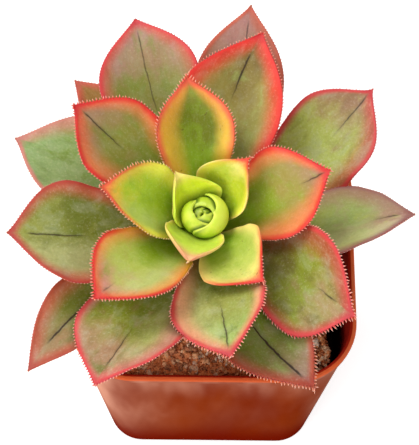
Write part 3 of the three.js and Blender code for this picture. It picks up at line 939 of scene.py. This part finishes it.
def bud_material():
    """Closed leaves: yellow-green, paler along their free edges, with painted light towards the right and
    painted shade down in the gaps and on their inner faces.
    """
    net = new_material("bud flesh")
    where = in_millimetres(net)
    along, edge, face, deep, near = net.attributes("along edge face deep crease")
    soft = net.noise(where, 0.5, 3)
    fine = net.noise(where, 2.5, 3, 0.6)
    crease = (1 - near.ramp(0.1, 1.1)) * edge.ramp(0.3, 0.9)
    colour = net.coats(
        linear("#94bc1a"),
        (along.ramp(0.5, 0.85), "#c6e032"),
        (soft.ramp(0.42, 0.7) * 0.6, "#e2ea4a"),
        # Painted light: the bud's right side painted lighter, as light falls on that side
        (net.split(where)[0].ramp(-3, 2.5) * 0.55, "#eaf25c"),
        (deep * 0.8, "#96b422"),
        ((1 - edge.ramp(0.1, 1.6)) * 0.3, "#e4ec70"),
        (fine.ramp(0.5, 0.8) * 0.12, "#f4f4b8"),
        # Painted shade down in the gaps between the closed leaves
        (crease * 0.9, "#426406"),
        # Painted shade on the inner faces, which turn towards the axis
        ((-face).ramp(0, 0.4) * 0.8, "#6a8c10"),
    )
    glow = soft_tissue(0.15, 0.0008, 0.0006, 0.0002)
    return end_material(net, colour, 0.4 + soft * 0.1, (0.2, 0.0002, fine), **glow)


def join(name, pieces):
    """Several mesh objects as one, with their attributes kept."""
    with bpy.context.temp_override(active_object=pieces[0], selected_editable_objects=pieces):
        bpy.ops.object.join()
    pieces[0].name = name
    return pieces[0]


def make_bud():
    """The closed leaves, then their creases for the painted shade, each against all the others, then one mesh
    of them.
    """
    tree = bud_tree()
    material = bud_material()
    leaves = []
    for rank, row in enumerate(BUD_LEAVES, 1):
        leaf = dict(zip(BUD_COLUMNS, row))
        x, y = axis_at(leaf["top"])
        values = {name: leaf[name] * MM for name in BUD_LENGTHS}
        values |= {name: float(leaf[name]) for name in BUD_SHARES}
        values |= dict(axis_x=x * MM, axis_y=y * MM, wrap=math.radians(leaf["wrap"]), material=material)
        values["azimuth"] = math.radians(FIRST_AZIMUTH - GOLDEN_ANGLE * rank)
        leaves.append(grow(f"closed_leaf_{rank}", tree, values))
    others = bpy.data.collections.new("other closed leaves")
    for leaf in leaves:
        others.objects.link(leaf)
    creases = gap_shade_tree()
    creased = []
    for rank, leaf in enumerate(leaves, 1):
        others.objects.unlink(leaf)
        values = {"others": others, "material": material}
        creased.append(grow(f"creased_leaf_{rank}", creases, values, leaf.data))
        others.objects.link(leaf)
    bpy.data.collections.remove(others)
    for leaf in leaves:
        bpy.data.objects.remove(leaf)
    bud = join("closed_bud", creased)
    place_piece(bud, "bud")
    return bud


# Stem, pot and soil

def skin(name, rings, start, end):
    """A mesh from rings with equal counts, each end closed by a fan to its own point."""
    count = len(rings[0])
    last = (len(rings) - 1) * count
    points = [point for ring in rings for point in ring]
    faces = []
    for low in range(0, last, count):
        for i in range(count):
            j = (i + 1) % count
            faces.append((low + i, low + j, low + count + j, low + count + i))
    faces += [(len(points), (i + 1) % count, i) for i in range(count)]
    faces += [(len(points) + 1, last + i, last + (i + 1) % count) for i in range(count)]
    mesh = bpy.data.meshes.new(name)
    mesh.from_pydata([*points, start, end], [], faces)
    smooth(mesh)
    mesh.update()
    return mesh


def new_piece(name, mesh, material):
    mesh.materials.append(material)
    return add_object(name, mesh)


def stem_material():
    net = new_material("stem bark")
    rough = net.noise(in_millimetres(net), 0.8, 4, 0.7)
    colour = net.coats(linear("#5d5a2c"), (rough.ramp(0.35, 0.65), "#8a7a4b"))
    return end_material(net, colour, 0.75, (0.6, 0.0004, rough))


def stem_point(height, angle):
    """A point of the stem's bark, ringed by the scars of fallen leaves, in metres."""
    x, y = axis_at(height)
    scar = math.sin(height * 3.4 + 1.5 * math.sin(3 * angle)) * 0.12
    lump = noise.noise(Vector((math.cos(angle), math.sin(angle), height * 0.4)) * 1.4) * 0.25
    radius = read_along(STEM_HEIGHTS, STEM_RADII, height) + (scar + lump)
    return Vector((x + radius * math.cos(angle), y + radius * math.sin(angle), height)) * MM


def make_stem():
    low, high = STEM_HEIGHTS[0], STEM_HEIGHTS[-1]
    heights = [low + (high - low) * k / STEM_STEPS for k in range(STEM_STEPS + 1)]
    rings = [[stem_point(height, TAU * i / STEM_AROUND) for i in range(STEM_AROUND)] for height in heights]
    ends = [Vector((*axis_at(height), height)) * MM for height in (low, high)]
    piece = new_piece("leafy_stem", skin("leafy_stem", rings, *ends), stem_material())
    place_piece(piece, "stem")


def rounded_square(side, corner, z):
    """Points round a square with soft corners, with steps along its straight sides too."""
    reach = side / 2 - corner
    ring = []
    for quarter in range(4):
        middle = math.radians(45 + 90 * quarter)
        x = math.copysign(reach, math.cos(middle))
        y = math.copysign(reach, math.sin(middle))
        for step in range(CORNER_STEPS + 1):
            angle = math.radians(90 * quarter + 90 * step / CORNER_STEPS)
            ring.append(Vector((x + corner * math.cos(angle), y + corner * math.sin(angle), z)))
        onward = math.radians(90 * quarter + 180)
        heading = Vector((math.cos(onward), math.sin(onward), 0))
        foot = ring[-1].copy()
        for step in range(1, SIDE_STEPS):
            ring.append(foot + heading * (2 * reach * step / SIDE_STEPS))
    return ring


def pot_side(z):
    """Width across the pot's tapered wall at height z."""
    return POT_BOTTOM + (POT_TOP - 2 * RIM_OUT - POT_BOTTOM) * z / POT_HEIGHT


def pot_ring(z, inset):
    corner = POT_CORNER_BOTTOM + (POT_CORNER_TOP - POT_CORNER_BOTTOM) * z / POT_HEIGHT
    return rounded_square(pot_side(z) - 2 * inset, corner - inset, z)


def pot_material():
    """Terracotta-coloured moulded plastic, dusty in soft streaks, with a painted sheen on the left, a painted
    highlight along its thin rim and painted shade inside.
    """
    net = new_material("pot plastic")
    where = in_millimetres(net)
    x, y, height = net.split(where)
    soft = net.noise(net.vector(x * 0.07, y * 0.07, height * 0.02), 1, 3)
    runs = net.noise(net.vector(x * 0.14, y * 0.14, height * 0.03), 1, 2, 0.5)
    dust = net.noise(where, 0.5, 5, 0.65)
    grain = net.noise(where, 4, 3, 0.7)
    streaky = (runs + (dust - 0.5) * 0.08).ramp(0.3, 0.75)
    # Real dust in soft streaks, and a painted sheen that makes the left part paler, as light falls there
    left = 1 - (x + (soft - 0.5) * 24).ramp(-38, -8)
    right = (x + (soft - 0.5) * 10).ramp(20, 32)
    dust_and_sheen = streaky * 0.05 + (-x).ramp(20, 30) * 0.25
    dust_and_sheen = dust_and_sheen + left * (0.48 + streaky * 0.5) + right * (0.22 + streaky * 0.3)
    dust_and_sheen = dust_and_sheen * height.ramp(0, 30)
    dust_and_sheen = (dust_and_sheen + height.ramp(40, 58) * (0.06 + streaky * 0.26)).at_most(0.8)
    top = POT_HEIGHT / MM
    normal = net.add("ShaderNodeNewGeometry", {}, (), 1)
    facing = net.vectors("DOT_PRODUCT", normal, net.vector(x, y, 0), out=1)
    inside = (-facing).ramp(1, 6)
    colour = net.coats(
        linear("#80300e"),
        (soft.ramp(0.3, 0.7), "#701f05"),
        ((1 - height.ramp(2, 22)) * 0.9, "#660a00"),
        (dust_and_sheen, "#dca086"),
        (grain.ramp(0.55, 0.85) * 0.06, "#d09a80"),
        # Painted highlight along the top of the rim
        (height.ramp(top - 0.9, top - 0.1) * 0.8, "#e0602e"),
        # Painted shade on the inner walls, darkest low down inside the pot
        (inside * 0.9, "#920f0a"),
        (inside * (1 - height.ramp(46, 55)), "#2a0602"),
    )
    relief = (0.15, 0.0003, grain + soft * 6)
    return end_material(net, colour, 0.4 + dust * 0.25, relief, Specular_IOR_Level=0)


def drain_drill():
    """Four short rods where the pot's floor has its drain holes."""
    drill = bmesh.new()
    for x in (-DRAIN_PLACE, DRAIN_PLACE):
        for y in (-DRAIN_PLACE, DRAIN_PLACE):
            bmesh.ops.create_cone(
                drill, cap_ends=True, segments=40, radius1=DRAIN_RADIUS, radius2=DRAIN_RADIUS,
                depth=4 * POT_FLOOR, matrix=Matrix.Translation((x, y, POT_FLOOR / 2)),
            )
    mesh = bpy.data.meshes.new("drain drill")
    drill.to_mesh(mesh)
    drill.free()
    return add_object("drain drill", mesh)


def make_pot():
    """The pot's skin from its underside, up its outside, over the rim and down its inside."""
    rim_foot = POT_HEIGHT - RIM_HEIGHT
    rim_half = (POT_WALL + RIM_OUT) / 2
    outline = []
    for k in range(ARC_STEPS + 1):
        angle = math.pi / 2 * k / ARC_STEPS
        outline.append((POT_EDGE * (1 - math.cos(angle)), POT_EDGE * (1 - math.sin(angle))))
    wall = rim_foot - POT_EDGE - 1 * MM
    outline += [(POT_EDGE + wall * k / WALL_STEPS, 0) for k in range(1, WALL_STEPS)]
    outline += [(rim_foot + rise * MM, -RIM_OUT * share) for rise, share in RIM_STEP]
    for k in range(ARC_STEPS + 1):
        angle = math.pi * k / ARC_STEPS
        height = POT_HEIGHT - RIM_SOFT + RIM_SOFT * math.sin(angle)
        outline.append((height, -RIM_OUT + rim_half * (1 - math.cos(angle))))
    drop = POT_HEIGHT - 4 * MM
    outline += [(POT_HEIGHT - 1 * MM - drop * k / WALL_STEPS, POT_WALL) for k in range(WALL_STEPS + 1)]
    outline.append((POT_FLOOR, POT_WALL + POT_EDGE))
    rings = [pot_ring(height, inset) for height, inset in outline]
    mesh = skin("square_pot", rings, Vector((0, 0, 0)), Vector((0, 0, POT_FLOOR)))
    pot = new_piece("square_pot", mesh, pot_material())
    cut = pot.modifiers.new("drains", "BOOLEAN")
    cut.operation = "DIFFERENCE"
    cut.object = drain_drill()
    cut.solver = "EXACT"
    pot.data = evaluated_mesh(pot)
    bpy.data.objects.remove(cut.object)
    pot.modifiers.remove(cut)
    pot.data.set_sharp_from_angle(angle=SHARP_ANGLE)
    place_piece(pot, "pot")


def soil_height(x, y):
    """Top of the soil: low waves with finer crumbs, shrunk from the wall, most at the right."""
    low_wave = 0.7 * math.sin(x / 6 + 0.4) * math.cos(y / 7 - 0.9)
    crumbs = noise.noise(Vector((x, y, 3)) * 0.35) * 0.6 + noise.noise(Vector((x, y, 9)) * 1.1) * 0.25
    ragged = noise.noise(Vector((x, y, 5)) * 0.25) * 2.5
    half = POT_TOP / MM / 2 - 2
    right, front, others = half - x, half + y, min(half + x, half - y)
    sink = 0
    for distance, (width, depth, steep) in zip((right, front, others), TRENCHES):
        share = min(1, max(0, steep * (1 - (distance + ragged * width / 6) / width)))
        sink = max(sink, depth * share * share * (3 - 2 * share))
    return SOIL_TOP / MM + low_wave + crumbs - sink


def soil_material():
    """Gritty mix: damp brown peat, tan grit and a few pale bits, told apart grain by grain, with painted
    light to the left and painted shade to the right and deep in the trenches.
    """
    net = new_material("potting mix")
    where = in_millimetres(net)
    x, _, height = net.split(where)
    fine = net.noise(where, 2.6, 4, 0.75)
    tone = net.add("ShaderNodeValToRGB", {}, {0: net.attributes("grain")})
    ramp = tone.end.node.color_ramp
    stops = {0: "#42180a", 0.2: "#963c14", 0.45: "#e07434", 0.7: "#ffaa6a", 0.88: "#ffdeb4", 1: "#fff4e6"}
    while len(ramp.elements) < len(stops):
        ramp.elements.new(1)
    for element, (place, code) in zip(ramp.elements, stops.items()):
        element.position = place
        element.color = linear(code)
    colour = net.coats(
        tone,
        (fine.ramp(0.51, 0.6) * 0.6, "#3c170a"),
        ((1 - fine).ramp(0.48, 0.56) * 0.5, "#ffc490"),
        # Painted light towards the left, then painted shade towards the right
        ((-x).ramp(-8, 12) * 0.3, "#f4ae84"),
        (x.ramp(-10, 16) * 0.22, "#5e220a"),
        # Painted shade deep down in the trenches by the walls
        (1 - height.ramp(42, 50), "#1a0603"),
    )
    return end_material(net, colour, 0.9, (0.4, 0.0003, fine), Specular_IOR_Level=0.2)


def grains(net, top, number, radius, subdivisions, smallest, largest, seed):
    """Rough grains strewn over the soil's top, sunk part of the way in."""
    upward = net.split(net.geo("InputNormal"))[2].over(0.5)
    x, y, height = net.split(net.geo("InputPosition"))
    bare = ((x * x + y * y) ** 0.5).over(SOIL_SHADED) * height.over(SOIL_TOP - SOIL_DEEPEST)
    points = net.geo(
        "DistributePointsOnFaces", {"distribute_method": "RANDOM"},
        Mesh=top, Selection=upward * bare, Density=number, Seed=seed,
    )
    lump = net.geo("MeshIcoSphere", Radius=radius, Subdivisions=subdivisions)
    where = net.vectors("MULTIPLY", net.geo("InputPosition"), (700, 700, 700))
    shift = net.add("ShaderNodeTexNoise", {}, {"Vector": where, "Scale": 1.3, "Detail": 1}, 1)
    shift = net.vectors("MULTIPLY", net.vectors("SUBTRACT", shift, (0.5, 0.5, 0.5)), (radius * 2.2,) * 3)
    strewn = net.geo(
        "InstanceOnPoints",
        Points=points,
        Instance=net.geo("SetPosition", Geometry=lump, Offset=shift),
        Rotation=net.random((0, 0, 0), (TAU, TAU, TAU), seed + 1),
        Scale=net.random((smallest,) * 3, (largest,) * 3, seed + 2),
    )
    strewn = net.store(strewn, domain="INSTANCE", grain=net.random(0, 1, seed + 3))
    lift = (0, 0, GRAIN_LIFT)
    return net.geo("TranslateInstances", Instances=strewn, Translation=lift, Local_Space=False)


def soil_tree():
    net, given = new_tree("soil grains", {"geometry": "Geometry", "material": "Material"})
    top = given.geometry
    parts = [net.store(top, grain=0.5), *(grains(net, top, *sort) for sort in GRAINS)]
    return end_tree(net, dressed(net, net.geo("JoinGeometry", Geometry=parts), given.material))


def soil_point(point):
    """The place on the soil's top for a point of its outline, drawn in where it has sunk."""
    height = soil_height(point.x / MM, point.y / MM) * MM
    draw_in = min(1, pot_side(height) / pot_side(SOIL_TOP))
    return Vector((point.x * draw_in, point.y * draw_in, height))


def make_soil():
    inset = POT_WALL + SOIL_GAP
    floor = POT_FLOOR + SOIL_GAP
    foot = floor + POT_EDGE
    brim = pot_ring(SOIL_TOP, inset)
    tops = [soil_height(point.x / MM, point.y / MM) * MM for point in brim]
    rings = [pot_ring(floor, inset + POT_EDGE)]
    for k in range(SOIL_SIDE_RINGS):
        heights = [foot + (top - foot) * k / SOIL_SIDE_RINGS for top in tops]
        rings.append([pot_ring(height, inset)[i] for i, height in enumerate(heights)])
    for k in range(SOIL_TOP_RINGS):
        share = 1 - (k / SOIL_TOP_RINGS) ** 1.1
        rings.append([soil_point(point * share) for point in brim])
    mesh = skin("potting_mix", rings, Vector((0, 0, floor)), Vector((0, 0, soil_height(0, 0) * MM)))
    piece = grow("potting_mix", soil_tree(), {"material": soil_material()}, mesh)
    place_piece(piece, "soil")


# Stage

def make_stage():
    """A white studio floor that glows a little, just under the pot."""
    net = new_material("studio floor")
    glow = {"Emission_Color": (1, 1, 1, 1), "Emission_Strength": 0.7}
    material = end_material(net, (0.6, 0.6, 0.6, 1), 0.7, **glow)
    size = 3
    drop = -0.1 * MM
    mesh = bpy.data.meshes.new("studio_floor")
    corners = [(-size, -size, drop), (size, -size, drop), (size, size, drop), (-size, size, drop)]
    mesh.from_pydata(corners, [], [(0, 1, 2, 3)])
    new_piece("studio_floor", mesh, material)


def add_light(name, place, aim, size, power, colour):
    light = bpy.data.lights.new(name, "AREA")
    light.shape = "DISK"
    light.size = size
    light.energy = power
    light.color = colour
    lamp = add_object(name, light)
    lamp.location = place
    lamp.rotation_mode = "QUATERNION"
    lamp.rotation_quaternion = (Vector(aim) - Vector(place)).to_track_quat("-Z", "Y")


def make_lights():
    world = bpy.data.worlds.new("studio")
    world.use_nodes = True
    background = world.node_tree.nodes["Background"]
    background.inputs["Color"].default_value = (1, 1, 1, 1)
    background.inputs["Strength"].default_value = 0.62
    bpy.context.scene.world = world
    plant = (0, 0, 0.07)
    add_light("key", (-0.35, 0.25, 0.75), plant, size=0.4, power=3.2, colour=(1, 0.98, 0.95))
    add_light("fill", (-0.45, -0.55, 0.4), plant, size=0.5, power=3.4, colour=(1, 1, 1))


def make_camera():
    azimuth = math.radians(VIEW_AZIMUTH)
    elevation = math.radians(VIEW_ELEVATION)
    roll = math.radians(VIEW_ROLL)
    back = Vector((
        math.sin(azimuth) * math.cos(elevation),
        -math.cos(azimuth) * math.cos(elevation),
        math.sin(elevation),
    ))
    right = (-back).cross(Vector((0, 0, 1))).normalized()
    up = right.cross(-back)
    across = right * math.cos(roll) + up * math.sin(roll)
    above = up * math.cos(roll) - right * math.sin(roll)
    camera = bpy.data.cameras.new("photo view")
    camera.lens = VIEW_LENS
    camera.sensor_width = VIEW_SENSOR
    camera.clip_start = 0.01
    camera.clip_end = 20
    eye = add_object("photo view", camera)
    turned = Matrix((across, above, back)).transposed().to_4x4()
    eye.matrix_world = Matrix.Translation(VIEW_AIM + back * VIEW_DISTANCE) @ turned
    bpy.context.scene.camera = eye


bpy.context.scene.view_settings.view_transform = "Standard"
make_camera()
make_lights()
make_stage()
make_pot()
make_soil()
make_stem()
make_leaves(make_bud(), leaf_material(), hair_material())
